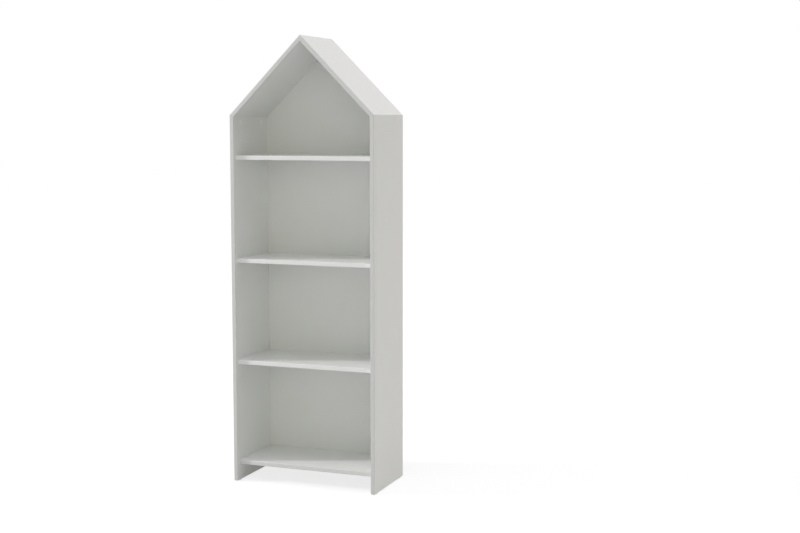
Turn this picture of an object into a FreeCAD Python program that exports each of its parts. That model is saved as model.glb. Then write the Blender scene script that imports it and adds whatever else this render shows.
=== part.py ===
"""Open bookshelf shaped like a small house, flat-packed from white edge-banded boards.

Lengths are in millimetres. The origin lies on the floor under the middle of the carcass,
+X runs to the right as seen from the open front, +Y to the wall behind and +Z up.
"""

import FreeCAD
import Part
import math
import os

# Carcass
carcass_width = 590.0  # over the outer faces of the sides
carcass_depth = 300.0  # front arris to rear edge of sides and roof
eave_height = 1420.0  # floor to the outer arris of the eaves
roof_pitch = 45.0  # degrees above level
board = 16.0  # thickness of sides, roof, shelves and bottom
band = 2.0  # thickness of the edge band on each front edge
band_round_share = 0.8  # radius of a band's long arrises over its thickness

# Shelves
shelf_names = ("bottom_board", "lower_shelf", "middle_shelf", "upper_shelf")
seam_shelf = "middle_shelf"  # the two back sheets meet behind this one
shelf_setback = 18.0  # front of the sides to front of the shelves
floor_gap = 66.0  # floor to the underside of the bottom board
eave_drop = 153.0  # eave arris down to the top of the upper shelf

# Back sheets
back_sheet = 3.0  # thickness
sheet_inset = 7.0  # rear edge of the sides to the rear face of the sheets
sheet_bite = 7.0  # how far a sheet's edge enters its groove
groove_end_gap = 1.0  # groove depth beyond the sheet's edge
groove_slack = 0.4  # groove width beyond the sheet's thickness
seam_gap = 1.0  # between the two sheets

# Cam locks and the bolts that they draw in
cam_reach = 24.0  # joint face, or mitre pivot, to the axis of the cam
cam_row_inset = 45.0  # front and rear end of a shelf to the cam rows
head_diameter = 7.0
head_length = 3.0
neck_diameter = 4.0
shaft_diameter = 6.0
head_play = 1.3  # hollow of the cam beyond the bolt's head
cam_wall = 2.3  # wall of the cam round its hollow
head_gap = 0.3  # head, or neck, to the slot that it passes
cam_end_gap = 0.3  # cam to the floor of its pocket
drive_width = 1.6  # slot that takes the screwdriver
drive_depth = 2.0
drive_share = 0.6  # length of that slot over the cam's diameter

# Caps over the cams
cap_lip = 1.0  # rim of the cap beyond the cam
cap_height = 1.2  # above the board

# Dowels in the shelf ends
dowel_diameter = 8.0
dowel_shelf_bite = 20.0  # length inside the shelf
dowel_row_step = 32.0  # cam row to dowel row

# Hinged bolts and dowels of the mitred joints
mitre_row_inset = 55.0  # front of the board, or groove of the back, to the bolts
eye_radius = 3.0
eye_width = 2.0
cheek_width = 1.6
eye_gap = 0.1  # eye to cheek
shoulder_gap = 0.4  # knuckle to the shafts
rivet_diameter = 2.4
stud_diameter = 6.0
stud_length = 34.0  # pivot to the tip of the stud
mitre_dowel_diameter = 6.0
mitre_dowel_step = 36.0  # bolt row to dowel row
mitre_dowel_cover = 1.0  # board left over the dowel's end

# Floor glides
glide_height = 3.0
glide_margin = 1.0  # glide to the faces of the side
glide_inset = 30.0  # front and rear edge of the side to the glides
glide_pin_diameter = 2.2
glide_pin_length = 14.0

# Flat sides that stand for the round of the small fittings and of their bores
peg_sides = 8  # bolts, dowels, rivets and pins
disc_sides = 12  # cams, caps and glides
half_turn_share = 0.5  # turns a section so that a flat, not a corner, faces each axis
full_turn = 360.0  # degrees

# Fits
bore_fit = 0.1  # radial room round cams, bolts, dowels and pins
hole_end_gap = 0.5  # hole depth beyond the tip of what it holds
side_skin = 4.5  # board left behind a hole drilled into a face
overrun = 1.0  # how far a cutting shape passes the face that it opens
touching = 1e-6

# Places that follow from the sizes
half_width = carcass_width / 2
front = -carcass_depth / 2
rear = carcass_depth / 2
pitch = math.radians(roof_pitch)
inner_x = board - half_width
sheet_rear = rear - sheet_inset
sheet_front = sheet_rear - back_sheet
shelf_front = front + shelf_setback
shelf_core_front = shelf_front + band
shelf_length = carcass_width - 2 * board
upper_underside = eave_height - eave_drop - board
shelf_rise = (upper_underside - floor_gap) / (len(shelf_names) - 1)
underside = {name: floor_gap + i * shelf_rise for i, name in enumerate(shelf_names)}
seam_height = underside[seam_shelf] + board / 2

# Sizes of the cams that follow from the bolt's head
bolt_axis_depth = board / 2
head_radius = head_diameter / 2
hollow_radius = (head_radius + head_play) / math.cos(math.pi / peg_sides)
cam_radius = hollow_radius + cam_wall
cam_length = bolt_axis_depth + head_radius + head_gap
pocket_depth = cam_length + cam_end_gap
face_hole_depth = board - side_skin
head_shoulder = cam_reach - math.sqrt((head_radius + head_play) ** 2 - head_radius**2)
neck_start = cam_reach - cam_radius - head_gap
bolt_bore_radius = max(head_diameter, shaft_diameter) / 2 + bore_fit

# Sizes of the mitre bolts that follow from their knuckle
ridge_half_angle = math.pi / 2 - pitch
shaft_radius = shaft_diameter / 2
fork_half_width = eye_width / 2 + eye_gap + cheek_width
knuckle = max(eye_radius, shaft_radius / math.tan(ridge_half_angle)) + shoulder_gap
knuckle_reach = math.hypot(eye_radius, fork_half_width) + bore_fit
knuckle_bore_radius = knuckle_reach / math.cos(math.pi / peg_sides)
fork_end = knuckle + shoulder_gap

ORIGIN = FreeCAD.Vector(0, 0, 0)
X = FreeCAD.Vector(1, 0, 0)
Y = FreeCAD.Vector(0, 1, 0)
Z = FreeCAD.Vector(0, 0, 1)
UP_ROOF = FreeCAD.Vector(math.cos(pitch), 0, math.sin(pitch))
DOWN_ROOF = FreeCAD.Vector(math.cos(pitch), 0, -math.sin(pitch))
INTO_RIGHT_ROOM = FreeCAD.Vector(-math.sin(pitch), 0, -math.cos(pitch))


def house_corners(inset):
    """Foot, eave and ridge (x, z) of the left half of the house, inset from its outer faces."""
    x = inset - half_width
    drop = inset / math.cos(pitch)
    eave = eave_height + inset * math.tan(pitch) - drop
    ridge = eave_height + half_width * math.tan(pitch) - drop
    return (x, glide_height), (x, eave), (0, ridge)


def prism(corners, y_from, y_to):
    """Solid with a straight-sided section in X and Z, from one depth to another."""
    points = [FreeCAD.Vector(x, y_from, z) for x, z in corners]
    section = Part.Face(Part.makePolygon(points + points[:1]))
    return section.extrude(Y * (y_to - y_from))


def house_prism(inset, foot, y_from, y_to):
    """Solid filling the whole house section, inset from its outer faces, down to foot."""
    _, eave, ridge = house_corners(inset)
    x = eave[0]
    corners = [(x, foot), eave, ridge, (-x, eave[1]), (-x, foot)]
    return prism(corners, y_from, y_to)


def bar(axis, radius, start, end, sides=peg_sides):
    """Bar on the X, Y or Z axis whose many-sided section has its corners at radius."""
    across = (Y if axis == X else X) * radius
    turns = [(i + half_turn_share) * full_turn / sides for i in range(sides)]
    corners = [axis * start + FreeCAD.Rotation(axis, turn).multVec(across) for turn in turns]
    section = Part.Face(Part.makePolygon(corners + corners[:1]))
    return section.extrude(axis * (end - start))


def rod(radius, start, end):
    """Peg-sided bar on the X axis."""
    return bar(X, radius, start, end)


def stepped(steps):
    """Bar on the X axis with a (start, end, radius) for each of its steps."""
    lengths = [rod(radius, start, end) for start, end, radius in steps]
    return lengths[0].fuse(lengths[1:]).removeSplitter()


def block(x_from, x_to, y_from, y_to, z_from, z_to):
    corner = FreeCAD.Vector(x_from, y_from, z_from)
    return Part.makeBox(x_to - x_from, y_to - y_from, z_to - z_from, corner)


def seat(shape, origin, along, out=Z):
    """Copy of a shape with its X turned to along and its Z to out, moved to origin."""
    across = out.cross(along)
    matrix = FreeCAD.Matrix(
        along.x, across.x, out.x, origin.x,
        along.y, across.y, out.y, origin.y,
        along.z, across.z, out.z, origin.z,
    )
    placed = shape.copy()
    placed.Placement = FreeCAD.Placement(matrix).multiply(shape.Placement)
    return placed


def mirrored(shapes):
    """Copies on the other side of the carcass."""
    return [shape.mirror(ORIGIN, X) for shape in shapes]


def both_sides(shapes):
    return shapes + mirrored(shapes)


def cut(solid, tools):
    """Solid with all the tools taken away."""
    return solid.cut(Part.makeCompound(tools))


def banded(corners, y_front):
    """Edge band over a board's front edge, with its two long arrises rounded."""
    strip = prism(corners, y_front, y_front + band)
    arrises = [
        edge
        for edge in strip.Edges
        if edge.BoundBox.YMax < y_front + touching and edge.Length > 2 * board
    ]
    return strip.makeFillet(band * band_round_share, arrises)


def shelf_corners(name):
    """Section of a shelf in X and Z."""
    low = underside[name]
    x = shelf_length / 2
    return [(-x, low), (x, low), (x, low + board), (-x, low + board)]


def cam_lock():
    """Cam with its axis on Z, its face at zero and its hook closed on a bolt from +X."""
    room = head_radius + head_gap
    slot = neck_diameter / 2 + head_gap
    reach = cam_radius + overrun
    end = -cam_length - overrun
    hollow_top = room - bolt_axis_depth
    slot_low = -bolt_axis_depth - slot
    slot_high = slot - bolt_axis_depth
    drive = cam_radius * drive_share
    half = drive_width / 2
    body = bar(Z, cam_radius, -cam_length, 0, disc_sides)
    return cut(
        body,
        [
            bar(Z, hollow_radius, end, hollow_top),
            block(-reach, 0, -room, room, end, hollow_top),
            block(-reach, reach, 0, reach, slot_low, slot_high),
            block(0, reach, -slot, 0, slot_low, slot_high),
            block(-drive, drive, -half, half, -drive_depth, overrun),
        ],
    )


def cam_cap():
    """Cap on the board's face at zero."""
    return bar(Z, cam_radius + cap_lip, 0, cap_height, disc_sides)


def head_steps():
    """Neck and head of a bolt that a cam holds."""
    return [
        (neck_start, head_shoulder, neck_diameter / 2),
        (head_shoulder, head_shoulder + head_length, head_radius),
    ]


def cam_bolt():
    """Bolt on the X axis, screwed in below zero, with its head in the cam."""
    return stepped([(hole_end_gap - face_hole_depth, neck_start, shaft_radius)] + head_steps())


def cam_pocket():
    """Pocket for a cam, drilled from the board's face at zero."""
    return bar(Z, cam_radius + bore_fit, -pocket_depth, overrun, disc_sides)


def rivet(room, extra):
    """Rivet along Y through the fork, or with room and extra its hole."""
    half = fork_half_width + extra
    return bar(Y, rivet_diameter / 2 + room, -half, half)


def mitre_arm():
    """Swinging half of a mitre bolt: an eye at the origin and a cam head along X."""
    half = eye_width / 2
    eye = bar(Y, eye_radius, -half, half)
    tongue = block(0, fork_end, -half, half, -half, half)
    shank = stepped([(knuckle, neck_start, shaft_radius)] + head_steps())
    return eye.fuse([tongue, shank]).removeSplitter().cut(rivet(bore_fit, overrun))


def mitre_stud():
    """Fixed half of a mitre bolt: a fork round the origin and a stud along X."""
    cheeks = bar(Y, eye_radius, -fork_half_width, fork_half_width)
    flat = eye_radius * math.cos(math.pi / peg_sides)
    bridge = block(0, fork_end, -fork_half_width, fork_half_width, -flat, flat)
    slot = eye_width / 2 + eye_gap
    reach = eye_radius + overrun
    opening = block(-reach, knuckle, -slot, slot, -reach, reach)
    stud = rod(stud_diameter / 2, knuckle, stud_length)
    fork = cheeks.fuse([bridge, stud]).removeSplitter()
    return cut(fork, [opening, rivet(bore_fit, overrun)])


def mitre_bores():
    """Holes for the swinging and the fixed half of a mitre bolt, both along X."""
    opening = -knuckle_bore_radius - overrun
    arm_hole = rod(max(knuckle_bore_radius, head_radius + bore_fit), opening, cam_reach)
    fork_hole = rod(knuckle_bore_radius, opening, fork_end + hole_end_gap)
    stud_hole = rod(stud_diameter / 2 + bore_fit, 0, stud_length + hole_end_gap)
    return arm_hole, fork_hole.fuse(stud_hole)


def mitre_dowel_reach(lean):
    """Half the length of a dowel that leans by an angle from the boards that it joins."""
    radius = mitre_dowel_diameter / 2
    room = board / 2 - mitre_dowel_cover - radius * math.cos(lean)
    return room / math.sin(lean)


def shelf_fittings(name):
    """Fittings at the left end of a shelf, with the holes that they need in shelf and side."""
    fittings = {"cam_locks": [], "cam_bolts": [], "cam_caps": [], "dowels": []}
    shelf_holes = []
    side_holes = []
    middle = underside[name] + board / 2
    ends = (shelf_core_front, sheet_front)
    for end, inwards in zip(ends, (1, -1)):
        y = end + inwards * cam_row_inset
        joint = FreeCAD.Vector(inner_x, y, middle)
        face = FreeCAD.Vector(inner_x + cam_reach, y, underside[name])
        fittings["cam_bolts"].append(seat(cam_bolt(), joint, X))
        fittings["cam_locks"].append(seat(cam_lock(), face, -X, -Z))
        fittings["cam_caps"].append(seat(cam_cap(), face, -X, -Z))
        shelf_holes.append(seat(cam_pocket(), face, -X, -Z))
        shelf_holes.append(seat(rod(bolt_bore_radius, -overrun, cam_reach), joint, X))
        thread_hole = rod(shaft_radius + bore_fit, -face_hole_depth, overrun)
        side_holes.append(seat(thread_hole, joint, X))

        joint = FreeCAD.Vector(inner_x, y + inwards * dowel_row_step, middle)
        radius = dowel_diameter / 2
        peg = rod(radius, hole_end_gap - face_hole_depth, dowel_shelf_bite)
        fittings["dowels"].append(seat(peg, joint, X))
        hole = rod(radius + bore_fit, -face_hole_depth, dowel_shelf_bite + hole_end_gap)
        shelf_holes.append(seat(hole, joint, X))
        side_holes.append(seat(hole, joint, X))
    return fittings, shelf_holes, side_holes


def mitre_fittings(pivot, arm_along, arm_room, stud_along):
    """Fittings of a mitred joint, with the holes in the arm's board and the stud's board.

    pivot is the (x, z) middle of the joint, arm_along and stud_along run from it inside the
    two boards and arm_room points out of the arm's board into the room.
    """
    fittings = {"studs": [], "arms": [], "rivets": [], "cam_locks": [], "cam_caps": [], "dowels": []}
    arm_holes = []
    stud_holes = []
    arm_hole, stud_hole = mitre_bores()
    across = (arm_along - stud_along).normalize()
    lean = arm_along.getAngle(across)
    reach = mitre_dowel_reach(lean)
    ends = (front + band, sheet_front)
    for end, inwards in zip(ends, (1, -1)):
        y = end + inwards * mitre_row_inset
        middle = FreeCAD.Vector(pivot[0], y, pivot[1])
        face = middle + arm_along * cam_reach + arm_room * (board / 2)
        fittings["arms"].append(seat(mitre_arm(), middle, arm_along, arm_room))
        fittings["studs"].append(seat(mitre_stud(), middle, stud_along, stud_along.cross(Y)))
        fittings["rivets"].append(seat(rivet(0, 0), middle, X))
        fittings["cam_locks"].append(seat(cam_lock(), face, -arm_along, arm_room))
        fittings["cam_caps"].append(seat(cam_cap(), face, -arm_along, arm_room))
        arm_holes.append(seat(cam_pocket(), face, -arm_along, arm_room))
        arm_holes.append(seat(arm_hole, middle, arm_along, arm_room))
        stud_holes.append(seat(stud_hole, middle, stud_along, stud_along.cross(Y)))

        middle = middle + Y * (inwards * mitre_dowel_step)
        radius = mitre_dowel_diameter / 2
        peg = rod(radius, hole_end_gap - reach, reach - hole_end_gap)
        fittings["dowels"].append(seat(peg, middle, across, across.cross(Y)))
        hole = seat(rod(radius + bore_fit, -reach, reach), middle, across, across.cross(Y))
        arm_holes.append(hole)
        stud_holes.append(hole)
    return fittings, arm_holes, stud_holes


def glide():
    """Floor glide with its face at zero and its pin up along Z."""
    disc = bar(Z, board / 2 - glide_margin, 0, glide_height, disc_sides)
    pin = bar(Z, glide_pin_diameter / 2, glide_height, glide_height + glide_pin_length)
    return disc.fuse(pin).removeSplitter()


def glide_places():
    """Places of the two glides under the left side, by name."""
    x = board / 2 - half_width
    return {
        "front_left_glide": FreeCAD.Vector(x, front + glide_inset, 0),
        "rear_left_glide": FreeCAD.Vector(x, rear - glide_inset, 0),
    }


def glide_hole():
    tip = glide_height + glide_pin_length + hole_end_gap
    return bar(Z, glide_pin_diameter / 2 + bore_fit, glide_height, tip)


def back_sheets():
    """Lower and upper back sheet, which meet behind the seam shelf."""
    inset = board - sheet_bite
    whole = house_prism(inset, floor_gap, sheet_front, sheet_rear)
    gap = prism(
        [
            (-half_width, seam_height - seam_gap / 2),
            (half_width, seam_height - seam_gap / 2),
            (half_width, seam_height + seam_gap / 2),
            (-half_width, seam_height + seam_gap / 2),
        ],
        sheet_front - overrun,
        sheet_rear + overrun,
    )
    lower, upper = sorted(whole.cut(gap).Solids, key=lambda sheet: sheet.CenterOfMass.z)
    return {"lower_back_sheet": lower, "upper_back_sheet": upper}


def bookshelf():
    """Every node of the bookshelf by name, as one solid or a list of like solids."""
    nodes = {}
    foot, eave, ridge = house_corners(0)
    inner_foot, inner_eave, inner_ridge = house_corners(board)
    side_section = [foot, eave, inner_eave, inner_foot]
    roof_section = [eave, ridge, inner_ridge, inner_eave]
    _, eave_pivot, ridge_pivot = house_corners(board / 2)
    groove_rear = sheet_rear + groove_slack
    groove_inset = board - sheet_bite - groove_end_gap
    groove = house_prism(groove_inset, -overrun, sheet_front, groove_rear)

    shelf_sets = {"cam_locks": [], "cam_bolts": [], "cam_caps": [], "dowels": []}
    side_holes = [groove]
    for name in shelf_names:
        fittings, shelf_holes, side_bores = shelf_fittings(name)
        side_holes += side_bores
        for kind, solids in fittings.items():
            shelf_sets[kind] += both_sides(solids)
        core = prism(shelf_corners(name), shelf_core_front, sheet_front)
        nodes[name] = cut(core, both_sides(shelf_holes))
        nodes[name + "_edge_band"] = banded(shelf_corners(name), shelf_front)
    for kind, solids in shelf_sets.items():
        nodes["shelf_" + kind] = solids
    nodes.update(back_sheets())

    eave_set, eave_side_holes, eave_roof_holes = mitre_fittings(eave_pivot, -Z, X, UP_ROOF)
    ridge_set, ridge_right_holes, ridge_left_holes = mitre_fittings(
        ridge_pivot, DOWN_ROOF, INTO_RIGHT_ROOM, -UP_ROOF
    )
    for kind in ("studs", "arms", "rivets"):
        nodes["mitre_bolt_" + kind] = both_sides(eave_set[kind]) + ridge_set[kind]
    for kind in ("cam_locks", "cam_caps", "dowels"):
        nodes["eave_" + kind] = both_sides(eave_set[kind])
        nodes["ridge_" + kind] = ridge_set[kind]

    side_holes += eave_side_holes
    for name, place in glide_places().items():
        nodes[name] = seat(glide(), place, X)
        nodes[name.replace("left", "right")] = nodes[name].mirror(ORIGIN, X)
        side_holes.append(seat(glide_hole(), place, X))

    side = cut(prism(side_section, front + band, rear), side_holes)
    roof = prism(roof_section, front + band, rear)
    left_roof_holes = [groove] + eave_roof_holes + ridge_left_holes
    right_roof_holes = [groove] + mirrored(eave_roof_holes) + ridge_right_holes
    nodes["left_side_panel"] = side
    nodes["right_side_panel"] = side.mirror(ORIGIN, X)
    nodes["left_roof_panel"] = cut(roof, left_roof_holes)
    nodes["right_roof_panel"] = cut(roof.mirror(ORIGIN, X), right_roof_holes)
    for piece, section in (("side", side_section), ("roof", roof_section)):
        strip = banded(section, front)
        nodes["left_" + piece + "_edge_band"] = strip
        nodes["right_" + piece + "_edge_band"] = strip.mirror(ORIGIN, X)
    return nodes


def main():
    os.makedirs("parts", exist_ok=True)
    for name, solids in bookshelf().items():
        shape = Part.makeCompound(solids) if isinstance(solids, list) else solids
        shape.exportStep("parts/" + name + ".step")


main()
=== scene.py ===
import math
from functools import partial

import bmesh
import bpy
from bpy.props import FloatProperty, FloatVectorProperty, IntProperty, PointerProperty
from mathutils import Matrix, Vector


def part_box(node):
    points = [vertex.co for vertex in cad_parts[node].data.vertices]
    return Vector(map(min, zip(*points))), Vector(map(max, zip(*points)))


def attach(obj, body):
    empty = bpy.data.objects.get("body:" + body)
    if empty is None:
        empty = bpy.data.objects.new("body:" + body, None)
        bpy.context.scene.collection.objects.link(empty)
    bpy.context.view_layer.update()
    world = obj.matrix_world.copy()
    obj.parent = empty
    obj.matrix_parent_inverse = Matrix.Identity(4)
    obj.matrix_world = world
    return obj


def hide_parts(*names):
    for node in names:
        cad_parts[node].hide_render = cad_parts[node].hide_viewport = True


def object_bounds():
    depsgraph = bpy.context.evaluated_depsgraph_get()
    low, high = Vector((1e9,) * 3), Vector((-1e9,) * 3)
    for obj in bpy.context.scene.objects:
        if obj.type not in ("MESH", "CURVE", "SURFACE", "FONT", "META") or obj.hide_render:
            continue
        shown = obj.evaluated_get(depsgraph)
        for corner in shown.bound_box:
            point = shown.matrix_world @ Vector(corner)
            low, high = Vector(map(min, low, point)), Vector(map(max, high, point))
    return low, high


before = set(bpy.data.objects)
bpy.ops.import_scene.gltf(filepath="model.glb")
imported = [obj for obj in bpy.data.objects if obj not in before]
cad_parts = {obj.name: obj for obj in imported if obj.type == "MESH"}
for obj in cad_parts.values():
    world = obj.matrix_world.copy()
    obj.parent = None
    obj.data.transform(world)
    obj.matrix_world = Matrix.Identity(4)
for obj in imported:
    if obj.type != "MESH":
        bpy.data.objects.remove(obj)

bl_info = {
    "name": "House Bookshelf",
    "version": (1, 0, 0),
    "blender": (4, 5, 0),
    "location": "View3D > Sidebar > Bookshelf",
    "description": "Boards, trim and fittings of a house-shaped bookshelf, and its studio",
    "category": "Object",
}

SOLID_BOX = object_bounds()
BODY = "root"
X = Vector((1, 0, 0))
Y = Vector((0, 1, 0))
Z = Vector((0, 0, 1))

# Nodes of the packed model
SIDES = ("left_side_panel", "right_side_panel")
ROOFS = ("left_roof_panel", "right_roof_panel")
SHELVES = ("bottom_board", "lower_shelf", "middle_shelf", "upper_shelf")
SEAM_SHELF = "middle_shelf"  # the back sheets meet behind it
BANDED = ("left_side", "right_side", "left_roof", "right_roof") + SHELVES  # have an edge band
SHEETS = ("lower_back_sheet", "upper_back_sheet")
GLIDES = ("front_left_glide", "front_right_glide", "rear_left_glide", "rear_right_glide")
CAPS = ("shelf_cam_caps", "eave_cam_caps", "ridge_cam_caps")
DOWELS = ("shelf_dowels", "eave_dowels", "ridge_dowels")
CAM_BOLTS = "shelf_cam_bolts"
CAM_LOCKS = ("shelf_cam_locks", "eave_cam_locks", "ridge_cam_locks")
MITRE_BOLTS = ("mitre_bolt_studs", "mitre_bolt_arms", "mitre_bolt_rivets")

# Limits in the mesh work: lengths in metres, angles in radians
MERGE = 1e-6  # points nearer than this are one
TOUCH = 1e-5  # a face this near to the outermost plane lies in it
DIGITS = 5  # decimals by which places and radii are told apart
PARALLEL = 0.999  # cosine above which two directions are one
FLAT = math.radians(0.5)  # faces that meet at less are one face
SHARP = math.radians(32)  # an edge that turns by more stays a corner
ARRIS_ANGLE = math.radians(28)  # an outward edge that turns by more is an arris
ARRIS_LENGTH = 0.012  # shorter edges, as in bores, aren't eased
ARRIS_FACE = 0.0008  # a face narrower than this belongs to an eased arris

# Facets of rounded forms
BOARD_SEGMENTS = 3  # across an eased arris of a board
THIN_SEGMENTS = 2  # across an eased arris of a band or sheet
TRIM_STEPS = 40  # round a cap or glide
SMALL_STEPS = 24  # round a nail or bolt
CAP_RINGS = 8  # from the rim of a cap to its middle
GLIDE_RINGS = 6  # in the rounded rim of a glide
BOLT_RINGS = 5  # in the rounded rim of a bolt's head
THREAD_STEPS = 20  # in one turn of a thread

# Proportions of the small pieces
NAIL_POINT = 2  # length of the point over the shank's diameter
NAIL_UNDERSIDE = 0.96  # flat underside of the head over its diameter
NAIL_RIM = (0.15, 0.4)  # lower and upper end of the rim over the head's height
NAIL_CROWN = 0.45  # fall of the crown out to the rim over the head's height
NAIL_RINGS = (0.93, 0.75, 0.5, 0.25)  # rings of the crown over the head's radius
GLIDE_CHAMFER = 0.0003  # chamfer of the upper rim, in metres
GLIDE_POINT = 3  # length of the pin's point over its radius
DOWEL_FLUTES = 18
DOWEL_FIT = 0.94  # radius of a dowel over the corners of its flat-sided solid
DOWEL_FLUTE = 0.93  # radius in a flute over the dowel's
DOWEL_CHAMFER = 0.2  # chamfer of the ends over the radius of the solid
BAR_SIDES = 8  # sides of the solid that stands for a bolt
THREAD_START = 0.5  # tip of a bolt to its thread, in pitches
THREAD_FOOT = (0.0, 0.85)  # start and end of the thread's foot, in pitches
THREAD_CREST = (0.35, 0.5)  # start and end of its crest, in pitches

# Recipes of the finishes
FLAKE_SHARE = 0.5  # share of the flakes, and of the fibres, in chipboard
FIBRE_LEANS = (0.6, -0.9, 1.9)  # leans of the fibres in hardboard, in radians
FIBRE_STRETCH = 7.0  # length of a fibre over its width
FIBRE_FINENESS = 1500.0
FELT_RELIEF = 0.3  # height of the fibres over the depth of the screen's print
HARDBOARD_SHADES = (0.66, 1.32)  # darkest and lightest part over the hardboard's colour
GRAIN_STRETCH = (0.12, 1.0, 1.0)  # draws the grain of beech out along X
BEECH_SHADES = (0.72, 0.5)  # dark grain and flecks over the beech's colour

# Studio
FLOOR_REACH = 30.0  # middle of the floor to its edge, in metres
FLOOR_DROP = 0.0002  # how far it lies under the glides, in metres
SENSOR_WIDTH = 36.0  # in millimetres
LOBES = ("above", "fill", "rear")  # lights of the dome

# Sockets of a Mix node that mixes colours
MIX_SHARE, MIX_FIRST, MIX_SECOND, MIX_RESULT = 0, 6, 7, 2


def colour(name, default, description):
    return FloatVectorProperty(
        name=name, description=description, default=default, size=3, min=0, max=1, subtype="COLOR"
    )


def length(name, default, description):
    return FloatProperty(
        name=name, description=description, default=default, min=0, precision=5,
        subtype="DISTANCE", unit="LENGTH",
    )


def factor(name, default, description):
    return FloatProperty(
        name=name, description=description, default=default, min=0, max=1, subtype="FACTOR"
    )


def level(name, default, description):
    return FloatProperty(name=name, description=description, default=default, min=0)


def angle(name, degrees, description):
    return FloatProperty(
        name=name, description=description, default=math.radians(degrees), subtype="ANGLE"
    )


def direction(name, default, description):
    return FloatVectorProperty(
        name=name, description=description, default=default, size=3, subtype="DIRECTION"
    )


def location(name, default, description):
    return FloatVectorProperty(
        name=name, description=description, default=default, size=3, subtype="TRANSLATION"
    )


class BoardSizes(bpy.types.PropertyGroup):
    """Fine sizes of the boards, bands and back sheets."""

    arris: length("Board arris", 0.0004, "Width of the eased edges of the boards")
    band_arris: length("Band arris", 0.0002, "Width of the eased ends of the edge bands")
    sheet_arris: length("Sheet arris", 0.0003, "Width of the eased edges of the back sheets")


class TrimSizes(bpy.types.PropertyGroup):
    """Sizes of the caps, nails, glides and cam bolts."""

    cap_rim: length("Cap rim", 0.0004, "Height of the upright rim of a cam cap")
    cap_stem: length("Cap stem", 0.0014, "Length of the stem that plugs a cap into its cam")
    cap_stem_width: length("Cap stem width", 0.0014, "Diameter of that stem")
    nail_head: length("Nail head", 0.0042, "Diameter of the heads of the back nails")
    nail_head_height: length("Nail head height", 0.0008, "How far a nail head stands off the sheet")
    nail_shank: length("Nail shank", 0.0014, "Diameter of the back nails")
    nail_length: length("Nail length", 0.022, "Length of the back nails below the head")
    nail_inset: length("Nail inset", 0.06, "End of a shelf to its first nail")
    nails: IntProperty(name="Nails", description="Nails in each row", default=4, min=2)
    nail_seam: length("Nail to seam", 0.004, "Rows of nails to the seam of the two sheets")
    glide_round: length("Glide rounding", 0.0011, "Radius of the lower rim of a floor glide")
    glide_pin: length("Glide pin", 0.0022, "Diameter of the pin of a floor glide")
    bolt_pitch: length("Bolt pitch", 0.0025, "Pitch of the thread of a cam bolt")
    bolt_root: factor("Bolt root", 0.74, "Core of that thread over its outside")
    bolt_round: length("Bolt rounding", 0.0008, "Radius of the rim of a cam bolt's head")


class Finishes(bpy.types.PropertyGroup):
    """Colours and gloss of the finishes."""

    board: colour("Board white", (0.86, 0.87, 0.855), "Melamine face of the boards")
    # The three band whites below are tones of one and the same edge band. The sides, roof and
    # bottom board get darker copies as painted shade, and the shelves get a lighter copy as painted
    # light.
    band: colour("Band white", (0.70, 0.705, 0.695), "Edge band of the sides and the roof")
    shade_painted_low_band: colour("Bottom band white", (0.765, 0.77, 0.755), "Edge band of the bottom board")
    shelf_band: colour("Shelf band white", (0.90, 0.905, 0.90), "Edge band of the shelves")
    lacquer: colour("Back white", (0.86, 0.87, 0.855), "Lacquered front of the back sheets")
    hardboard: colour("Hardboard", (0.30, 0.185, 0.095), "Bare rear of the back sheets")
    chipboard: colour("Chipboard", (0.47, 0.34, 0.20), "Core of the boards in bores and joints")
    zinc: colour("Zinc", (0.56, 0.57, 0.58), "Die-cast cams")
    steel: colour("Plated steel", (0.66, 0.67, 0.68), "Bolts, rivets and nails")
    beech: colour("Beech", (0.60, 0.40, 0.22), "Dowels")
    cap: colour("Cap white", (0.85, 0.86, 0.845), "Moulded cam caps")
    glide: colour("Glide grey", (0.52, 0.52, 0.51), "Moulded floor glides")
    screen: level("Screen", 235.0, "Fineness of the wire print on the back")
    board_roughness: factor("Board roughness", 0.26, "Satin of the melamine")
    band_roughness: factor("Band roughness", 0.40, "Satin of the edge bands")
    lacquer_roughness: factor("Back roughness", 0.42, "Satin of the back's lacquer")
    zinc_roughness: factor("Zinc roughness", 0.5, "Dull skin of the castings")
    steel_roughness: factor("Steel roughness", 0.32, "Shine of the plating")
    cap_roughness: factor("Cap roughness", 0.38, "Satin of the cam caps")
    glide_roughness: factor("Glide roughness", 0.45, "Satin of the floor glides")


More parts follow.
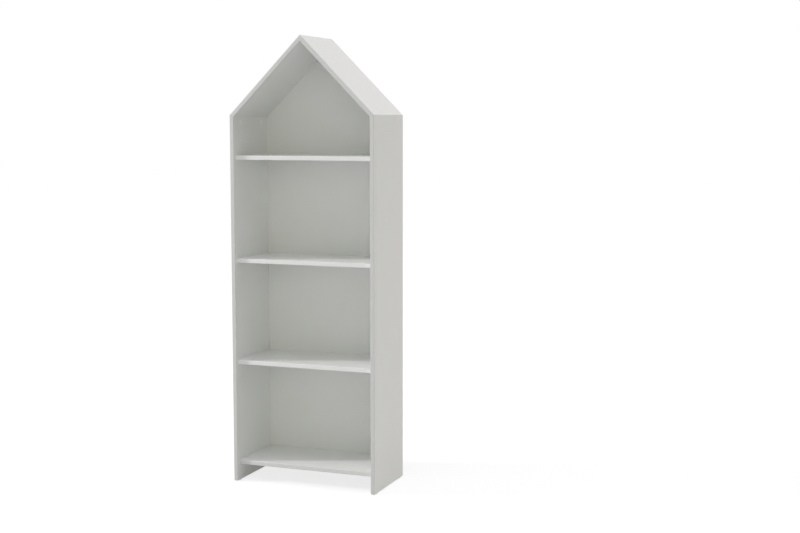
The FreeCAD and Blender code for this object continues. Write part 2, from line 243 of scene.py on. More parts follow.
class Studio(bpy.types.PropertyGroup):
    """Lights, floor and camera."""

    key_power: FloatProperty(
        name="Key power", description="Power of the soft key light", default=782.0, min=0,
        unit="POWER",
    )
    key_size: length("Key size", 1.05, "Width of the key light")
    key_place: location("Key place", (-10.527, -4.041, 4.964), "Where the key light hangs")
    above: colour("Overhead", (0.959, 0.94, 1.0), "Tint of the light from above")
    above_level: level("Overhead level", 2.29, "Strength of the light from above")
    above_way: direction("Overhead way", (0.0, -0.1, 0.995), "Where that light is strongest")
    above_focus: level("Overhead focus", 5.0, "How closely that light is gathered")
    fill: colour("Fill", (0.985, 1.0, 0.835), "Tint of the light from the front")
    fill_level: level("Fill level", 1.42, "Strength of the light from the front")
    fill_way: direction("Fill way", (0.405, -0.910, 0.087), "Where that light is strongest")
    fill_focus: level("Fill focus", 10.0, "How closely that light is gathered")
    rear: colour("Rear", (1.0, 0.96, 0.83), "Tint of the light from the right and behind")
    rear_level: level("Rear level", 0.75, "Strength of the light from the right and behind")
    rear_way: direction("Rear way", (0.734, 0.424, 0.530), "Where that light is strongest")
    rear_focus: level("Rear focus", 5.0, "How closely that light is gathered")
    floor: colour("Floor", (0.58, 0.58, 0.58), "Floor as it throws light back")
    floor_glow: factor("Floor glow", 0.76, "Share of the floor's white that no shadow takes away")
    floor_shade: factor("Floor shade", 0.31, "Floor as it takes the object's shadow")
    camera_place: location("Camera place", (2.1409, -4.7528, 1.396), "Where the camera stands")
    camera_yaw: angle("Yaw", 20.751, "Turn of the camera to the left")
    camera_pitch: angle("Pitch", -6.116, "Tilt of the camera upwards")
    camera_lens: FloatProperty(
        name="Lens", description="Focal length on a 36 mm wide sensor", default=60.915,
        unit="CAMERA",
    )


def connect(tree, socket, value):
    """Links a socket to another node's socket, or gives it a plain value."""
    if isinstance(value, bpy.types.NodeSocket):
        tree.links.new(value, socket)
    else:
        socket.default_value = value


def add_node(tree, kind, settings=None, **inputs):
    """New shader node with its settings and inputs, which are values or other nodes' sockets."""
    made = tree.nodes.new(kind)
    for name, value in (settings or {}).items():
        setattr(made, name, value)
    for name, value in inputs.items():
        connect(tree, made.inputs[name.replace("_", " ")], value)
    return made


def rgba(values):
    """Opaque colour for a socket."""
    return (*values, 1.0)


def tinted(values, share):
    """Opaque colour, darker or lighter than another."""
    return rgba(part * share for part in values)


def object_place(tree):
    """Places on a piece in its own coordinates, in metres."""
    return add_node(tree, "ShaderNodeTexCoord").outputs["Object"]


def noise(tree, place, scale, **inputs):
    """Grey noise."""
    made = add_node(tree, "ShaderNodeTexNoise", Vector=place, Scale=scale, **inputs)
    return made.outputs["Fac"]


def arithmetic(tree, operation, first, second):
    """Result of a Math node."""
    made = add_node(tree, "ShaderNodeMath", {"operation": operation})
    connect(tree, made.inputs[0], first)
    connect(tree, made.inputs[1], second)
    return made.outputs[0]


def remapped(tree, value, source, target):
    """Value moved from one range to another, and kept inside it."""
    made = add_node(
        tree, "ShaderNodeMapRange", Value=value,
        From_Min=source[0], From_Max=source[1], To_Min=target[0], To_Max=target[1],
    )
    return made.outputs["Result"]


def mixed(tree, share, first, second):
    """Colour between two others."""
    made = add_node(tree, "ShaderNodeMix", {"data_type": "RGBA"})
    connect(tree, made.inputs[MIX_SHARE], share)
    connect(tree, made.inputs[MIX_FIRST], first)
    connect(tree, made.inputs[MIX_SECOND], second)
    return made.outputs[MIX_RESULT]


def around_half(tree, value):
    """Noise moved from around a half to around zero."""
    return arithmetic(tree, "SUBTRACT", value, 0.5)


def shaded(tree, tint, value, contrast):
    """Colour made lighter and darker by a noise."""
    change = arithmetic(tree, "MULTIPLY", around_half(tree, value), contrast)
    tone = add_node(
        tree, "ShaderNodeVectorMath", {"operation": "SCALE"},
        Scale=arithmetic(tree, "ADD", change, 1.0),
    )
    connect(tree, tone.inputs[0], tint)
    return tone.outputs[0]


def satin_group():
    """Node group of a surface with a fine pebble and a slow drift of colour and gloss."""
    name = "Satin surface"
    if name in bpy.data.node_groups:
        return bpy.data.node_groups[name]
    group = bpy.data.node_groups.new(name, "ShaderNodeTree")
    number, tint = "NodeSocketFloat", "NodeSocketColor"
    for way, sockets in (
        ("INPUT", (("Colour", tint), ("Drift", number), ("Roughness", number),
                   ("Gloss Drift", number), ("Pebbles", number), ("Clouds", number))),
        ("OUTPUT", (("Colour", tint), ("Roughness", number), ("Height", number))),
    ):
        for label, kind in sockets:
            group.interface.new_socket(name=label, in_out=way, socket_type=kind)
    given = group.nodes.new("NodeGroupInput").outputs
    out = group.nodes.new("NodeGroupOutput").inputs
    place = object_place(group)
    pebble = noise(group, place, given["Pebbles"], Detail=2.0, Roughness=0.55)
    cloud = noise(group, place, given["Clouds"], Detail=3.0, Roughness=0.5)
    gloss = arithmetic(group, "MULTIPLY", around_half(group, pebble), given["Gloss Drift"])
    connect(group, out["Colour"], shaded(group, given["Colour"], cloud, given["Drift"]))
    connect(group, out["Roughness"], arithmetic(group, "ADD", gloss, given["Roughness"]))
    connect(group, out["Height"], pebble)
    return group


def dress(tree, tone, roughness, height, relief):
    """Gives the shader its colour, its roughness and a bump, whose relief is in metres."""
    shader = tree.nodes["Principled BSDF"].inputs
    bump = add_node(tree, "ShaderNodeBump", Height=height, Distance=relief)
    connect(tree, shader["Base Color"], tone)
    connect(tree, shader["Roughness"], roughness)
    connect(tree, shader["Normal"], bump.outputs["Normal"])


def satin(
    tree, look, tint, roughness, pebbles, relief, drift=0.03, gloss_drift=0.1, clouds=9.0,
    metallic=0.0,
):
    """Even finish such as foil, lacquer, plastic or plating, from two fields of the finishes."""
    surface = add_node(
        tree, "ShaderNodeGroup", {"node_tree": satin_group()},
        Colour=rgba(getattr(look, tint)), Drift=drift, Roughness=getattr(look, roughness),
        Gloss_Drift=gloss_drift, Pebbles=pebbles, Clouds=clouds,
    ).outputs
    tree.nodes["Principled BSDF"].inputs["Metallic"].default_value = metallic
    dress(tree, surface["Colour"], surface["Roughness"], surface["Height"], relief)


def chipboard(tree, look):
    """Pressed wood: flakes and fibres, light and dark."""
    place = object_place(tree)
    flake = add_node(tree, "ShaderNodeTexVoronoi", Vector=place, Scale=420.0)
    grey = add_node(tree, "ShaderNodeRGBToBW", Color=flake.outputs["Color"]).outputs["Val"]
    fibre = noise(tree, place, scale=240.0, Detail=4.0, Distortion=1.2)
    halves = [arithmetic(tree, "MULTIPLY", part, FLAKE_SHARE) for part in (grey, fibre)]
    both = arithmetic(tree, "ADD", *halves)
    tone = shaded(tree, look.chipboard, both, contrast=1.1)
    roughness = remapped(tree, both, source=(0.2, 0.8), target=(0.82, 0.68))
    dress(tree, tone, roughness, both, relief=0.0004)


def leaning_fibres(tree, place, lean):
    """Noise drawn out into fibres that lean in the XZ plane."""
    turned_place = add_node(
        tree, "ShaderNodeMapping", {"vector_type": "TEXTURE"},
        Vector=place, Rotation=(0, lean, 0), Scale=(FIBRE_STRETCH, 1, 1),
    )
    return noise(tree, turned_place.outputs["Vector"], FIBRE_FINENESS, Detail=2.0)


def hardboard(tree, look):
    """Pressed brown fibre with the print of the press's wire screen."""
    place = object_place(tree)
    layers = [leaning_fibres(tree, place, lean) for lean in FIBRE_LEANS]
    felt = arithmetic(tree, "ADD", arithmetic(tree, "ADD", layers[0], layers[1]), layers[2])
    cloud = noise(tree, place, scale=14.0, Detail=4.0)
    wires = [
        add_node(
            tree, "ShaderNodeTexWave", {"bands_direction": way},
            Vector=place, Scale=look.screen, Distortion=0.4,
        ).outputs["Fac"]
        for way in ("X", "Z")
    ]
    pits = arithmetic(tree, "MULTIPLY", *wires)
    dark, light = (tinted(look.hardboard, share) for share in HARDBOARD_SHADES)
    fibrous = remapped(tree, felt, source=(1.15, 1.85), target=(0.0, 1.0))
    cloudy = remapped(tree, cloud, source=(0.35, 0.65), target=(0.0, 0.22))
    pitted = remapped(tree, pits, source=(0.3, 1.0), target=(0.0, 0.35))
    tone = mixed(tree, fibrous, dark, light)
    tone = mixed(tree, cloudy, tone, light)
    tone = mixed(tree, pitted, tone, dark)
    roughness = remapped(tree, felt, source=(1.1, 1.9), target=(0.86, 0.70))
    raised = arithmetic(tree, "MULTIPLY", felt, FELT_RELIEF)
    height = arithmetic(tree, "SUBTRACT", raised, pits)
    dress(tree, tone, roughness, height, relief=0.00012)


def beech(tree, look):
    """Raw beech with a close grain the way the shelf dowels lie, and short dark flecks."""
    along = add_node(
        tree, "ShaderNodeMapping", Vector=object_place(tree), Scale=GRAIN_STRETCH
    ).outputs["Vector"]
    grain = noise(tree, along, scale=900.0, Detail=3.0)
    cells = add_node(tree, "ShaderNodeTexVoronoi", Vector=along, Scale=1400.0)
    flecked = remapped(tree, cells.outputs["Distance"], source=(0.05, 0.25), target=(0.35, 0.0))
    dark, darkest = (tinted(look.beech, share) for share in BEECH_SHADES)
    tone = mixed(tree, grain, dark, rgba(look.beech))
    tone = mixed(tree, flecked, tone, darkest)
    roughness = remapped(tree, grain, source=(0.3, 0.7), target=(0.72, 0.6))
    dress(tree, tone, roughness, grain, relief=0.00006)


# The edge band finishes are copies of one band white. The sides, roof and bottom board get darker
# ones as painted shade, and the shelves get a lighter one as painted light.
band_satin = partial(satin, roughness="band_roughness", pebbles=700.0, relief=0.000008)
RECIPES = {  # no material of the packed model has one of these names
    "white_melamine": partial(
        satin, tint="board", roughness="board_roughness", pebbles=950.0, relief=0.000012
    ),
    "shade_painted_edge_band": partial(band_satin, tint="band"),
    "shade_painted_bottom_band": partial(band_satin, tint="shade_painted_low_band"),
    "light_painted_shelf_band": partial(band_satin, tint="shelf_band"),
    "white_back_lacquer": partial(
        satin, tint="lacquer", roughness="lacquer_roughness", pebbles=420.0, relief=0.00002,
        drift=0.035,
    ),
    "white_cap_plastic": partial(
        satin, tint="cap", roughness="cap_roughness", pebbles=2200.0, relief=0.000006
    ),
    "grey_glide_plastic": partial(
        satin, tint="glide", roughness="glide_roughness", pebbles=2200.0, relief=0.00001
    ),
    "cast_zinc": partial(
        satin, tint="zinc", roughness="zinc_roughness", pebbles=1800.0, relief=0.00003,
        drift=0.15, gloss_drift=0.3, clouds=160.0, metallic=1.0,
    ),
    "plated_steel": partial(
        satin, tint="steel", roughness="steel_roughness", pebbles=2600.0, relief=0.000008,
        drift=0.12, gloss_drift=0.2, clouds=220.0, metallic=1.0,
    ),
    "chipboard_core": chipboard,
    "bare_hardboard": hardboard,
    "raw_beech": beech,
}


def finish(name):
    """Material of that name, made by its recipe on first use."""
    if name in bpy.data.materials:
        return bpy.data.materials[name]
    material = bpy.data.materials.new(name)
    material.use_nodes = True
    RECIPES[name](material.node_tree, bpy.context.scene.bookshelf_finishes)
    return material


def node_bmesh(node):
    """Merged copy of a node's mesh with its flat faces whole."""
    bm = bmesh.new()
    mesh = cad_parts[node].data.copy()
    stored = mesh.attributes.get("custom_normal")
    if stored:
        mesh.attributes.remove(stored)
    bm.from_mesh(mesh)
    bpy.data.meshes.remove(mesh)
    bmesh.ops.remove_doubles(bm, verts=bm.verts, dist=MERGE)
    bmesh.ops.dissolve_limit(bm, angle_limit=FLAT, verts=bm.verts, edges=bm.edges)
    return bm


def middle_of(points):
    """Mean of some points."""
    return sum(points, Vector()) / len(points)


def islands(node):
    """Separate solids of a node, each as its points and the direction of its longest edge."""
    bm = node_bmesh(node)
    left = dict.fromkeys(bm.verts)
    found = []
    while left:
        stack = [left.popitem()[0]]
        group = []
        while stack:
            vert = stack.pop()
            group.append(vert)
            for edge in vert.link_edges:
                other = edge.other_vert(vert)
                if other in left:
                    del left[other]
                    stack.append(other)
        edges = [edge for vert in group for edge in vert.link_edges]
        longest = max(edges, key=lambda edge: edge.calc_length())
        points = [vert.co.copy() for vert in group]
        along = (longest.verts[1].co - longest.verts[0].co).normalized()
        found.append((points, along))
    bm.free()
    return sorted(found, key=lambda item: tuple(round(part, DIGITS) for part in middle_of(item[0])))


def keep_corners(bm):
    """Marks the corners sharp and all other edges smooth."""
    for edge in bm.edges:
        edge.smooth = edge.is_manifold and edge.calc_face_angle() < SHARP


def is_arris(edge):
    """Whether an edge is long, turns outwards and would be eased on the real piece."""
    return (
        edge.is_manifold
        and edge.is_convex
        and edge.calc_length() > ARRIS_LENGTH
        and edge.calc_face_angle() > ARRIS_ANGLE
    )


def ease(bm, width, segments):
    """Rounds the arrises."""
    bmesh.ops.bevel(
        bm, geom=[edge for edge in bm.edges if is_arris(edge)], offset=width,
        offset_type="OFFSET", segments=segments, profile=0.5, affect="EDGES", material=-1,
        clamp_overlap=False,
    )
    bmesh.ops.dissolve_degenerate(bm, dist=MERGE, edges=bm.edges)
    for face in bm.faces:
        longest = max(edge.calc_length() for edge in face.edges)
        face.smooth = face.calc_area() < ARRIS_FACE * longest
    keep_corners(bm)


def faced(bm, directions):
    """Gives the second material to each face that isn't outermost in one of the directions."""
    reach = [(way, max(vert.co.dot(way) for vert in bm.verts)) for way in directions]
    for face in bm.faces:
        middle = face.calc_center_median()
        outer = any(
            face.normal.dot(way) > PARALLEL and middle.dot(way) > far - TOUCH for way, far in reach
        )
        face.material_index = 0 if outer else 1


def add_piece(bm, name, finishes, nodes=()):
    """Puts a finished mesh into the scene as a piece that stands for these nodes."""
    mesh = bpy.data.meshes.new(name)
    bm.to_mesh(mesh)
    bm.free()
    for look in finishes:
        mesh.materials.append(finish(look))
    piece = bpy.data.objects.new(name, mesh)
    bpy.context.scene.collection.objects.link(piece)
    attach(piece, BODY)
    if nodes:
        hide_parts(*nodes)


def replace_node(bm, node, slot, *finishes):
    """Puts a finished mesh into the scene in place of one node."""
    add_piece(bm, "finished_" + node, finishes, (node,))


def turned(profile, steps):
    """Closed solid turned about Z from (radius, height) points that start and end on the axis."""
    bm = bmesh.new()
    verts = [bm.verts.new((radius, 0, height)) for radius, height in profile]
    edges = [bm.edges.new(pair) for pair in zip(verts, verts[1:])]
    bmesh.ops.spin(
        bm, geom=verts + edges, cent=(0, 0, 0), axis=Z, angle=math.tau, steps=steps,
        use_merge=True, use_duplicate=False,
    )
    bmesh.ops.remove_doubles(bm, verts=bm.verts, dist=MERGE)
    bmesh.ops.recalc_face_normals(bm, faces=bm.faces)
    soften(bm)
    return bm


def soften(bm):
    """Smooth faces with the corners kept sharp."""
    for face in bm.faces:
        face.smooth = True
    keep_corners(bm)


def arc(centre, radius, start, end, steps):
    """Points of a rounded corner in a (radius, height) profile, by angles in degrees."""
    angles = [math.radians(start + (end - start) * i / steps) for i in range(steps + 1)]
    return [
        (centre[0] + radius * math.cos(turn), centre[1] + radius * math.sin(turn))
        for turn in angles
    ]


def upright(place, up):
    """Matrix that stands a turned piece on a place with its Z along up."""
    return Matrix.Translation(place) @ up.to_track_quat("Z", "Y").to_matrix().to_4x4()


def repeated(pattern, places):
    """One mesh with a copy of the pattern at each place."""
    whole = bmesh.new()
    mesh = bpy.data.meshes.new("pattern")
    pattern.to_mesh(mesh)
    pattern.free()
    for matrix in places:
        first = len(whole.verts)
        whole.from_mesh(mesh)
        whole.verts.ensure_lookup_table()
        bmesh.ops.transform(whole, matrix=matrix, verts=whole.verts[first:])
    bpy.data.meshes.remove(mesh)
    return whole


def roof_run():
    """Run and rise of one slope of the roof, on its outer face."""
    low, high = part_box("left_roof_edge_band")
    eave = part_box("left_side_edge_band")[1].z
    return -low.x, high.z - eave


def add_board(node, arris, directions):
    """Board with melamine on its outermost faces in these directions, and a chipboard core."""
    bm = node_bmesh(node)
    faced(bm, directions)
    ease(bm, arris, BOARD_SEGMENTS)
    replace_node(bm, node, "white_board", "white_melamine", "chipboard_core")


class BOOKSHELF_OT_side_boards(bpy.types.Operator):
    """Side and roof boards with eased arrises, melamine faces and a chipboard core"""

    bl_idname = "bookshelf.side_boards"
    bl_label = "Sides and Roof"

    def execute(self, context):
        arris = context.scene.bookshelf_boards.arris
        run, rise = roof_run()
        pitch = math.atan2(rise, run)
        for node in SIDES:
            add_board(node, arris, (X, -X, Y, -Z))
        for node, hand in zip(ROOFS, (-1, 1)):
            out = Vector((hand * math.sin(pitch), 0, math.cos(pitch)))
            add_board(node, arris, (out, -out, Y))
        return {"FINISHED"}


class BOOKSHELF_OT_shelves(bpy.types.Operator):
    """Bottom board and shelves with eased arrises, melamine faces and a chipboard core"""

    bl_idname = "bookshelf.shelves"
    bl_label = "Shelves"

    def execute(self, context):
        for node in SHELVES:
            add_board(node, context.scene.bookshelf_boards.arris, (Z, -Z))
        return {"FINISHED"}


class BOOKSHELF_OT_edge_bands(bpy.types.Operator):
    """Eased edge bands over the front edges"""

    bl_idname = "bookshelf.edge_bands"
    bl_label = "Edge Bands"

    def execute(self, context):
        for board in BANDED:
            node = board + "_edge_band"
            bm = node_bmesh(node)
            ease(bm, context.scene.bookshelf_boards.band_arris, THIN_SEGMENTS)
            replace_node(bm, node, "edge_band", self.look(board))
        return {"FINISHED"}

    def look(self, board):
        """Finish of a board's band: one band white, in a darker copy as painted shade on the sides,
        roof and bottom board and in a lighter copy as painted light on the shelves.
        """
        if board == "bottom_board":
            return "shade_painted_bottom_band"
        return "light_painted_shelf_band" if board in SHELVES else "shade_painted_edge_band"


class BOOKSHELF_OT_back_sheets(bpy.types.Operator):
    """Hardboard back sheets, lacquered white in front and bare behind"""

    bl_idname = "bookshelf.back_sheets"
    bl_label = "Back Sheets"

    def execute(self, context):
        for node in SHEETS:
            bm = node_bmesh(node)
            faced(bm, (-Y,))
            ease(bm, context.scene.bookshelf_boards.sheet_arris, THIN_SEGMENTS)
            replace_node(bm, node, "back_sheet", "white_back_lacquer", "bare_hardboard")
        return {"FINISHED"}


class BOOKSHELF_OT_cam_caps(bpy.types.Operator):
    """Domed caps that plug into the cams"""

    bl_idname = "bookshelf.cam_caps"
    bl_label = "Cam Caps"

    def execute(self, context):
        sizes = context.scene.bookshelf_trim
        for node in CAPS:
            places = []
            for points, _ in islands(node):
                middle = middle_of(points)
                out = self.outward(node, middle)
                reach = max((point - middle).dot(out) for point in points)
                radius = min((point - middle).cross(out).length for point in points)
                places.append(upright(middle - out * reach, out))
            caps = repeated(self.cap(sizes, radius, 2 * reach), places)
            replace_node(caps, node, "white_cap", "white_cap_plastic")
        return {"FINISHED"}

    def outward(self, node, middle):
        """Way that a cap of a node faces."""
        if node == "shelf_cam_caps":
            return -Z
        if node == "eave_cam_caps":
            return X if middle.x < 0 else -X
        run, rise = roof_run()
        return Vector((-rise, 0, -run)).normalized()

    def cap(self, sizes, radius, height):
        """Cap that lies on its flat side, with its stem below."""
        stem = sizes.cap_stem_width / 2
        rise = height - sizes.cap_rim
        curve = (radius**2 + rise**2) / (2 * rise)
        half = math.degrees(math.asin(radius / curve))
        dome = arc((0, height - curve), curve, 90 - half, 90, CAP_RINGS)
        dome[-1] = (0, height)
        profile = [(0, -sizes.cap_stem), (stem, -sizes.cap_stem), (stem, 0), (radius, 0)]
        return turned(profile + dome, TRIM_STEPS)


class BOOKSHELF_OT_back_nails(bpy.types.Operator):
    """Nails through the back sheets into the rear edges of the shelves"""

    bl_idname = "bookshelf.back_nails"
    bl_label = "Back Nails"

    def execute(self, context):
        sizes = context.scene.bookshelf_trim
        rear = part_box(SHEETS[0])[1].y
        places = []
        for shelf in SHELVES:
            low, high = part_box(shelf)
            middle = (low.z + high.z) / 2
            rows = (middle,)
            if shelf == SEAM_SHELF:
                rows = (middle - sizes.nail_seam, middle + sizes.nail_seam)
            first = low.x + sizes.nail_inset
            step = (high.x - low.x - 2 * sizes.nail_inset) / (sizes.nails - 1)
            places += [
                upright(Vector((first + i * step, rear, height)), Y)
                for height in rows
                for i in range(sizes.nails)
            ]
        nails = repeated(self.nail(sizes), places)
        add_piece(nails, "back_nails", ("plated_steel",))
        return {"FINISHED"}

    def nail(self, sizes):
        """Nail with the underside of its head at zero and its point below."""
        shank = sizes.nail_shank / 2
        head = sizes.nail_head / 2
        top = sizes.nail_head_height
        tip = -sizes.nail_length
        profile = [(0, tip), (shank, tip + NAIL_POINT * sizes.nail_shank), (shank, 0)]
        profile += [(head * NAIL_UNDERSIDE, 0)] + [(head, top * share) for share in NAIL_RIM]
        profile += [(head * ring, top * (1 - NAIL_CROWN * ring**2)) for ring in NAIL_RINGS]
        return turned(profile + [(0, top)], SMALL_STEPS)


class BOOKSHELF_OT_glides(bpy.types.Operator):
    """Nail-on floor glides under the sides"""

    bl_idname = "bookshelf.glides"
    bl_label = "Floor Glides"

    def execute(self, context):
        sizes = context.scene.bookshelf_trim
        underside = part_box(SIDES[0])[0].z
        for node in GLIDES:
            low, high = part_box(node)
            middle = (low + high) / 2
            glide = self.glide(sizes, (high.x - low.x) / 2, underside, high.z)
            place = upright(Vector((middle.x, middle.y, 0)), Z)
            replace_node(repeated(glide, [place]), node, "glide_plastic", "grey_glide_plastic")
        return {"FINISHED"}

    def glide(self, sizes, radius, top, tip):
        """Glide that stands on the floor with its pin upwards."""
        rounding = sizes.glide_round
        pin = sizes.glide_pin / 2
        profile = [(0, 0)] + arc((radius - rounding, rounding), rounding, -90, 0, GLIDE_RINGS)
        profile += [(radius, top - GLIDE_CHAMFER), (radius - GLIDE_CHAMFER, top), (pin, top)]
        return turned(profile + [(pin, tip - GLIDE_POINT * pin), (0, tip)], TRIM_STEPS)


class BOOKSHELF_OT_dowels(bpy.types.Operator):
    """Fluted beech dowels with chamfered ends"""

    bl_idname = "bookshelf.dowels"
    bl_label = "Dowels"

    def execute(self, context):
        for node in DOWELS:
            places = []
            for points, along in islands(node):
                middle = middle_of(points)
                half = max((point - middle).dot(along) for point in points)
                radius = max((point - middle).cross(along).length for point in points)
                places.append(upright(middle - along * half, along))
            dowels = repeated(self.dowel(radius, 2 * half), places)
            replace_node(dowels, node, "beech", "raw_beech")
        return {"FINISHED"}

    def dowel(self, radius, height):
        """Dowel with straight flutes that stands on its end."""
        bm = bmesh.new()
        ring = bmesh.ops.create_circle(
            bm, cap_ends=True, radius=radius * DOWEL_FIT, segments=2 * DOWEL_FLUTES
        )["verts"]
        bmesh.ops.scale(bm, vec=(DOWEL_FLUTE, DOWEL_FLUTE, 1), verts=ring[::2])
        grown = bmesh.ops.extrude_face_region(bm, geom=list(bm.faces))["geom"]
        raised = [item for item in grown if isinstance(item, bmesh.types.BMVert)]
        bmesh.ops.translate(bm, vec=(0, 0, height), verts=raised)
        level_edges = [
            edge for edge in bm.edges if abs(edge.verts[0].co.z - edge.verts[1].co.z) < MERGE
        ]
        bmesh.ops.bevel(
            bm, geom=level_edges, offset=radius * DOWEL_CHAMFER, offset_type="OFFSET", segments=1,
            profile=0.5, affect="EDGES", material=-1, clamp_overlap=False,
        )
        bmesh.ops.recalc_face_normals(bm, faces=bm.faces)
        return bm


class BOOKSHELF_OT_cam_bolts(bpy.types.Operator):
    """Threaded bolts that the shelves' cams draw in"""

    bl_idname = "bookshelf.cam_bolts"
    bl_label = "Cam Bolts"

    def execute(self, context):
        sizes = context.scene.bookshelf_trim
        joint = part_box(SHELVES[1])[1].x
        places = []
        for points, _ in islands(CAM_BOLTS):
            middle = middle_of(points)
            inwards = -X if middle.x > 0 else X
            tip = middle + inwards * min((point - middle).dot(inwards) for point in points)
            places.append(upright(tip, inwards))
        bolt = self.bolt(sizes, self.stations(points, tip, inwards), abs(tip.x) - joint)
        replace_node(repeated(bolt, places), CAM_BOLTS, "zinc_plated_steel", "plated_steel")
        return {"FINISHED"}

    def stations(self, points, tip, along):
        """Shoulders of a stepped bar: height over its tip, and least and greatest inner radius."""
        flats = math.cos(math.pi / BAR_SIDES)
        found = {}
        for point in points:
            height = round((point - tip).dot(along), DIGITS)
            radius = round((point - tip).cross(along).length * flats, DIGITS)
            found.setdefault(height, set()).add(radius)
        return sorted((height, min(radii), max(radii)) for height, radii in found.items())

    def bolt(self, sizes, stations, bite):
        """Bolt on its tip: a thread as long as its bite, a plain shank, a neck and a round head."""
        _, (shoulder, neck, shank), (under, _, _), (end, _, head) = stations
        root = shank * sizes.bolt_root
        pitch = sizes.bolt_pitch
        rounding = sizes.bolt_round
        profile = [(0, 0), (root / 2, 0), (root, pitch / 2), (root, bite - pitch / 2)]
        profile += [(shank, bite), (shank, shoulder - rounding), (neck, shoulder)]
        profile += [(neck, under), (head, under)]
        profile += arc((head - rounding, end - rounding), rounding, 0, 90, BOLT_RINGS)
        bm = turned(profile + [(0, end)], SMALL_STEPS)
        self.add_thread(bm, root - MERGE, shank, pitch, int((bite - pitch / 2) / pitch) - 1)
        bmesh.ops.recalc_face_normals(bm, faces=bm.faces)
        soften(bm)
        return bm

    def add_thread(self, bm, foot, crest, pitch, turns):
        """Winds the ridge of a thread round a bolt."""
        (start, end), (rise, fall) = THREAD_FOOT, THREAD_CREST
        ridge = [(foot, start), (crest, rise), (crest, fall), (foot, end)]
        verts = [
            bm.verts.new((radius, 0, pitch * (THREAD_START + share))) for radius, share in ridge
        ]
        face = bm.faces.new(verts)
        bmesh.ops.spin(
            bm, geom=verts + list(face.edges) + [face], cent=(0, 0, 0), axis=Z,
            dvec=(0, 0, pitch / THREAD_STEPS), angle=math.tau * turns,
            steps=THREAD_STEPS * turns, use_duplicate=False,
        )


class BOOKSHELF_OT_metal_fittings(bpy.types.Operator):
    """Cams and hinged mitre bolts inside the boards"""

    bl_idname = "bookshelf.metal_fittings"
    bl_label = "Metal Fittings"

    def execute(self, context):
        for nodes, look in ((CAM_LOCKS, "cast_zinc"), (MITRE_BOLTS, "plated_steel")):
            for node in nodes:
                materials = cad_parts[node].data.materials
                materials.clear()
                materials.append(finish(look))
        return {"FINISHED"}


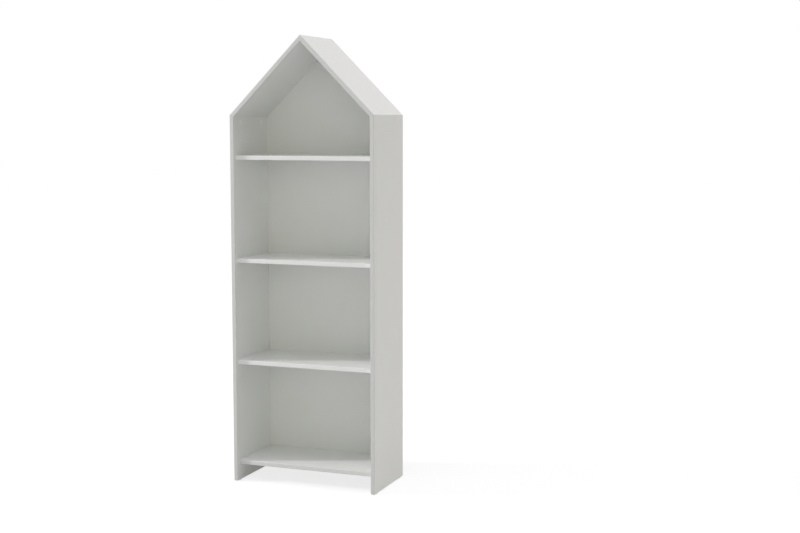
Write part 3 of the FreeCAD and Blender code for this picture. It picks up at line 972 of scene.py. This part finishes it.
class BOOKSHELF_OT_stage(bpy.types.Operator):
    """Floor, soft studio light and camera"""

    bl_idname = "bookshelf.stage"
    bl_label = "Studio"

    def execute(self, context):
        studio = context.scene.bookshelf_studio
        context.scene.view_settings.view_transform = "Standard"
        self.floor(context, studio)
        self.dome(context, studio)
        self.key(context, studio)
        self.camera(context, studio)
        return {"FINISHED"}

    def together(self, tree, first, second):
        """Node that adds up two shaders."""
        both = tree.nodes.new("ShaderNodeAddShader")
        tree.links.new(first.outputs[0], both.inputs[0])
        tree.links.new(second.outputs[0], both.inputs[1])
        return both

    def either(self, tree, lit, shown):
        """Shader shown to the camera and through gloss or glass, with another for the lighting."""
        path = add_node(tree, "ShaderNodeLightPath").outputs
        gloss = arithmetic(tree, "MAXIMUM", path["Is Glossy Ray"], path["Is Transmission Ray"])
        seen = arithmetic(tree, "MAXIMUM", path["Is Camera Ray"], gloss)
        made = add_node(tree, "ShaderNodeMixShader", Fac=seen)
        tree.links.new(lit.outputs[0], made.inputs[1])
        tree.links.new(shown.outputs[0], made.inputs[2])
        return made.outputs[0]

    def floor(self, context, studio):
        """Pale floor that throws light back and shows white apart from the object's shadow."""
        bm = bmesh.new()
        bmesh.ops.create_grid(bm, x_segments=1, y_segments=1, size=FLOOR_REACH)
        bmesh.ops.translate(bm, vec=(0, 0, -FLOOR_DROP), verts=bm.verts)
        mesh = bpy.data.meshes.new("floor")
        bm.to_mesh(mesh)
        bm.free()
        floor = bpy.data.objects.new("floor", mesh)
        context.scene.collection.objects.link(floor)
        material = bpy.data.materials.new("white_floor")
        material.use_nodes = True
        tree = material.node_tree
        tree.nodes.clear()
        lit = add_node(tree, "ShaderNodeBsdfDiffuse", Color=rgba(studio.floor))
        shade = add_node(tree, "ShaderNodeBsdfDiffuse", Color=rgba((studio.floor_shade,) * 3))
        glow = add_node(tree, "ShaderNodeEmission", Strength=studio.floor_glow)
        shown = self.together(tree, shade, glow)
        add_node(tree, "ShaderNodeOutputMaterial", Surface=self.either(tree, lit, shown))
        mesh.materials.append(material)

    def dome(self, context, studio):
        """World that lights the object from three wide lobes and shows white."""
        world = bpy.data.worlds.new("studio_dome")
        world.use_nodes = True
        context.scene.world = world
        tree = world.node_tree
        tree.nodes.clear()
        way = add_node(tree, "ShaderNodeTexCoord").outputs["Generated"]
        above, fill, rear = (self.lobe(tree, way, studio, name) for name in LOBES)
        lit = self.together(tree, self.together(tree, above, fill), rear)
        shown = add_node(tree, "ShaderNodeBackground", Color=rgba((1, 1, 1)), Strength=1.0)
        add_node(tree, "ShaderNodeOutputWorld", Surface=self.either(tree, lit, shown))

    def lobe(self, tree, way, studio, name):
        """Wide soft light around an axis, from the studio's fields of that name."""
        near = add_node(tree, "ShaderNodeVectorMath", {"operation": "DOT_PRODUCT"})
        connect(tree, near.inputs[0], way)
        connect(tree, near.inputs[1], Vector(getattr(studio, name + "_way")).normalized())
        share = arithmetic(tree, "MAXIMUM", near.outputs["Value"], 0.0)
        gathered = arithmetic(tree, "POWER", share, getattr(studio, name + "_focus"))
        strength = arithmetic(tree, "MULTIPLY", gathered, getattr(studio, name + "_level"))
        tint = rgba(getattr(studio, name))
        return add_node(tree, "ShaderNodeBackground", Color=tint, Strength=strength)

    def key(self, context, studio):
        """Round lamp that shines on the middle of the object."""
        lamp = bpy.data.lights.new("key", "AREA")
        lamp.shape = "DISK"
        lamp.size = studio.key_size
        lamp.energy = studio.key_power
        key = bpy.data.objects.new("key", lamp)
        low, high = SOLID_BOX
        place = Vector(studio.key_place)
        aim = (low + high) / 2 - place
        key.location = place
        key.rotation_euler = aim.to_track_quat("-Z", "Y").to_euler()
        key.visible_camera = False
        context.scene.collection.objects.link(key)

    def camera(self, context, studio):
        """Camera at the viewing angle of the studio's fields."""
        lens = bpy.data.cameras.new("camera")
        lens.sensor_width = SENSOR_WIDTH
        lens.lens = studio.camera_lens
        camera = bpy.data.objects.new("camera", lens)
        yaw = Matrix.Rotation(studio.camera_yaw, 4, "Z")
        tilt = Matrix.Rotation(math.pi / 2 + studio.camera_pitch, 4, "X")
        camera.matrix_world = Matrix.Translation(studio.camera_place) @ (yaw @ tilt)
        context.scene.collection.objects.link(camera)
        context.scene.camera = camera


GROUPS = (
    ("bookshelf_boards", BoardSizes),
    ("bookshelf_trim", TrimSizes),
    ("bookshelf_finishes", Finishes),
    ("bookshelf_studio", Studio),
)
OPERATORS = (
    BOOKSHELF_OT_side_boards,
    BOOKSHELF_OT_shelves,
    BOOKSHELF_OT_edge_bands,
    BOOKSHELF_OT_back_sheets,
    BOOKSHELF_OT_cam_caps,
    BOOKSHELF_OT_back_nails,
    BOOKSHELF_OT_glides,
    BOOKSHELF_OT_dowels,
    BOOKSHELF_OT_cam_bolts,
    BOOKSHELF_OT_metal_fittings,
    BOOKSHELF_OT_stage,
)


class BOOKSHELF_PT_sidebar(bpy.types.Panel):
    """Sizes, finishes and pieces of the bookshelf"""

    bl_idname = "BOOKSHELF_PT_sidebar"
    bl_label = "House Bookshelf"
    bl_space_type = "VIEW_3D"
    bl_region_type = "UI"
    bl_category = "Bookshelf"

    def draw(self, context):
        for name, group in GROUPS:
            box = self.layout.box()
            box.label(text=group.__doc__)
            for field in group.__annotations__:
                box.prop(getattr(context.scene, name), field)
        for operator in OPERATORS:
            self.layout.operator(operator.bl_idname)


def register():
    for name, group in GROUPS:
        bpy.utils.register_class(group)
        setattr(bpy.types.Scene, name, PointerProperty(type=group))
    for kind in OPERATORS + (BOOKSHELF_PT_sidebar,):
        bpy.utils.register_class(kind)


def unregister():
    for kind in reversed(OPERATORS + (BOOKSHELF_PT_sidebar,)):
        bpy.utils.unregister_class(kind)
    for name, group in reversed(GROUPS):
        delattr(bpy.types.Scene, name)
        bpy.utils.unregister_class(group)


def main():
    register()
    bpy.ops.bookshelf.side_boards()
    bpy.ops.bookshelf.shelves()
    bpy.ops.bookshelf.edge_bands()
    bpy.ops.bookshelf.back_sheets()
    bpy.ops.bookshelf.cam_caps()
    bpy.ops.bookshelf.back_nails()
    bpy.ops.bookshelf.glides()
    bpy.ops.bookshelf.dowels()
    bpy.ops.bookshelf.cam_bolts()
    bpy.ops.bookshelf.metal_fittings()
    bpy.ops.bookshelf.stage()


if __name__ == "__main__":
    main()
